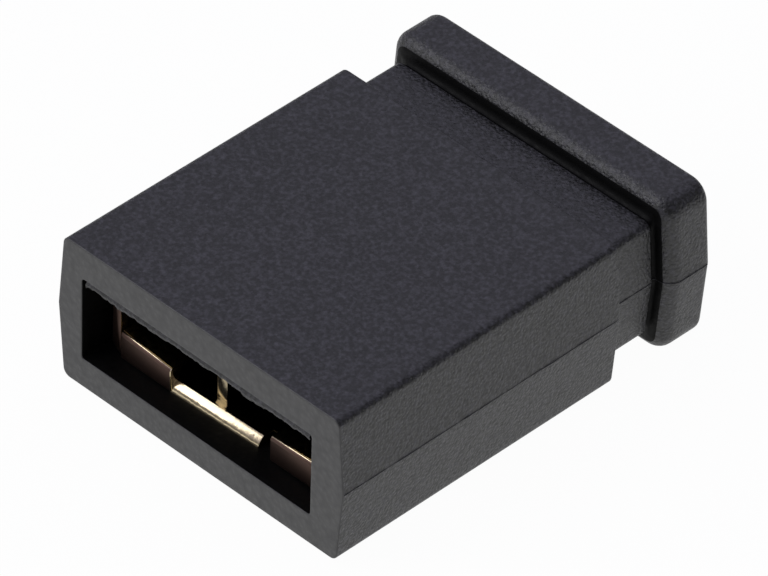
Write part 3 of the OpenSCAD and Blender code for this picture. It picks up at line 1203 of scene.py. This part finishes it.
def front_shade_material(scene):
    """Near-black metal of the folded fronts: painted shade where they reflect the dark cavity."""
    material, tree, shader = new_material("front_painted_shade")
    base = (*scene.shunt_contact.bare_colour, 1.0)
    fill(tree, shader, {"Base Color": base, "Roughness": 0.38, "Metallic": 1.0})
    return material


def plating_material(scene):
    """Plated metal of the contact strip, with painted shade that darkens it away from the mouth."""
    values = scene.shunt_contact
    tones = {"Patch Size": 0.0003, "Speck Contrast": 0.3}
    material, tree, shader, vector, tone = textured_material(
        "plated_metal", values.plating_colour, tones, 0.00006, 0.0000012, (0.1, 0.2)
    )
    # Painted shade: the colour is scaled down with depth into the cavity
    depth = place(tree, "ShaderNodeSeparateXYZ", {0: vector}).outputs["Y"]
    bright = HOUSING_LOW.y + values.bright_depth
    dim = HOUSING_LOW.y + values.dim_depth
    unshaded_share = map_range(tree, depth, bright, dim, 1.0, values.dim_share)
    painted_depth_shade = vector_maths(tree, "SCALE", {0: tone, "Scale": unshaded_share})
    fill(tree, shader, {"Base Color": painted_depth_shade, "Metallic": 1.0})
    return material


# ---- Stage ----


def floor_material(s):
    """Pale floor that looks nearly white and keeps the part's shadow."""
    material, tree, shader = new_material("pale_floor")
    base = (*s.floor_colour, 1.0)
    fill(tree, shader, {"Base Color": base, "Roughness": 1.0, "Specular IOR Level": 0.0})
    path = place(tree, "ShaderNodeLightPath").outputs
    seen = maths(tree, "MAXIMUM", path["Is Camera Ray"], path["Is Glossy Ray"])
    seen = maths(tree, "MAXIMUM", seen, path["Is Transmission Ray"])
    glow_share = maths(tree, "MULTIPLY", seen, s.floor_glow)
    glow = place(tree, "ShaderNodeEmission", {"Color": (1.0, 1.0, 1.0, 1.0), "Strength": 1.0})
    both = {0: glow_share, 1: shader.outputs["BSDF"], 2: glow.outputs["Emission"]}
    mix = place(tree, "ShaderNodeMixShader", both)
    fill(tree, tree.nodes["Material Output"], {"Surface": mix.outputs["Shader"]})
    return material


def build_world(s):
    """Soft light from all round: dim near the horizon and at the right, cool above."""
    world = bpy.data.worlds.new("soft_studio")
    bpy.context.scene.world = world
    world.use_nodes = True
    tree = world.node_tree
    direction = place(tree, "ShaderNodeTexCoord").outputs["Generated"]
    axes = place(tree, "ShaderNodeSeparateXYZ", {"Vector": direction}).outputs
    smooth = {"interpolation_type": "SMOOTHSTEP"}
    rise = map_range(tree, axes["Z"], 0.0, s.sky_height, **smooth)
    strength = map_range(tree, axes["X"], s.shade_start, s.shade_end, 1.0, s.shade_side, **smooth)
    # Sockets 6, 7 and 2 are the two colours and the mixed colour
    colours = {"Factor": rise, 6: (*s.horizon_colour, 1.0), 7: (*s.sky_colour, 1.0)}
    mix = place(tree, "ShaderNodeMix", colours, data_type="RGBA")
    fill(tree, tree.nodes["Background"], {"Color": mix.outputs[2], "Strength": strength})


def add_lamp(name, offset, aim, size, power):
    """A square area lamp at this offset from aim, which it faces."""
    data = bpy.data.lights.new(name, "AREA")
    data.size = size
    data.energy = power
    lamp = bpy.data.objects.new(name, data)
    bpy.context.scene.collection.objects.link(lamp)
    lamp.location = aim + offset
    lamp.rotation_euler = (-offset).to_track_quat("-Z", "Y").to_euler()


def build_camera(s):
    """Camera at the viewing angle, with its roll about its own axis."""
    a, e, r = s.azimuth, s.elevation, s.roll
    back = Vector((math.sin(a) * math.cos(e), -math.cos(a) * math.cos(e), math.sin(e)))
    right = Vector((math.cos(a), math.sin(a), 0.0))
    up = back.cross(right)
    side = math.cos(r) * right - math.sin(r) * up
    top = math.sin(r) * right + math.cos(r) * up
    place_at = Vector((s.aim_x, s.aim_y, s.aim_z)) * MM + back * s.distance * MM
    data = bpy.data.cameras.new("studio_camera")
    data.sensor_width = 36.0
    data.lens = s.focal_length
    data.clip_start = 0.001
    data.clip_end = 10.0
    camera = bpy.data.objects.new("studio_camera", data)
    bpy.context.scene.collection.objects.link(camera)
    turn_to = Matrix((side, top, back)).transposed().to_4x4()
    camera.matrix_world = Matrix.Translation(place_at) @ turn_to
    bpy.context.scene.camera = camera


class SHUNT_OT_stage(bpy.types.Operator):
    """Build the floor, the lights and the camera"""

    bl_idname = "shunt.stage"
    bl_label = "Build Stage"

    def execute(self, context):
        s = in_mm(context.scene.shunt_stage)
        floor_place = Vector((0.0, 0.0, CAD_BOX[0].z - s.floor_drop * MM))
        mesh = bpy.data.meshes.new("studio_floor")
        bm = bmesh.new()
        bmesh.ops.create_circle(bm, cap_ends=True, segments=96, radius=s.floor_radius * MM)
        bmesh.ops.translate(bm, verts=bm.verts, vec=floor_place)
        bm.to_mesh(mesh)
        bm.free()
        floor = link(mesh, "studio_floor", [floor_material(s)])
        build_world(s)
        aim = (CAD_BOX[0] + CAD_BOX[1]) / 2
        add_lamp("key_lamp", Vector(KEY_PLACE), aim, s.key_size * MM, s.key_power)
        add_lamp("fill_lamp", Vector(FILL_PLACE), aim, s.fill_size * MM, s.fill_power)
        build_camera(s)
        context.scene.view_settings.view_transform = "Standard"
        return {"FINISHED"}


# ---- Panel and registration ----

OPERATORS = (
    SHUNT_OT_housing,
    SHUNT_OT_parting_flash,
    SHUNT_OT_mouth_flash,
    SHUNT_OT_contact,
    SHUNT_OT_stage,
)


class SHUNT_PT_panel(bpy.types.Panel):
    """Lists the steps that build the shunt."""

    bl_idname = "SHUNT_PT_panel"
    bl_label = "Jumper Shunt"
    bl_space_type = "VIEW_3D"
    bl_region_type = "UI"
    bl_category = "Shunt"

    def draw(self, context):
        for operator in OPERATORS:
            self.layout.operator(operator.bl_idname)
        for name, group in SETTINGS.items():
            box = self.layout.box()
            box.label(text=group.__doc__)
            for prop in group.bl_rna.properties:
                if prop.identifier not in ("rna_type", "name"):
                    box.prop(getattr(context.scene, name), prop.identifier)


def register():
    for group in SETTINGS.values():
        bpy.utils.register_class(group)
    for name, group in SETTINGS.items():
        setattr(bpy.types.Scene, name, PointerProperty(type=group))
    for operator in OPERATORS:
        bpy.utils.register_class(operator)
    bpy.utils.register_class(SHUNT_PT_panel)


def unregister():
    bpy.utils.unregister_class(SHUNT_PT_panel)
    for operator in reversed(OPERATORS):
        bpy.utils.unregister_class(operator)
    for name in SETTINGS:
        delattr(bpy.types.Scene, name)
    for group in reversed(list(SETTINGS.values())):
        bpy.utils.unregister_class(group)


def main():
    register()
    bpy.ops.shunt.housing()
    bpy.ops.shunt.parting_flash()
    bpy.ops.shunt.mouth_flash()
    bpy.ops.shunt.contact()
    bpy.ops.shunt.stage()


if __name__ == "__main__":
    main()
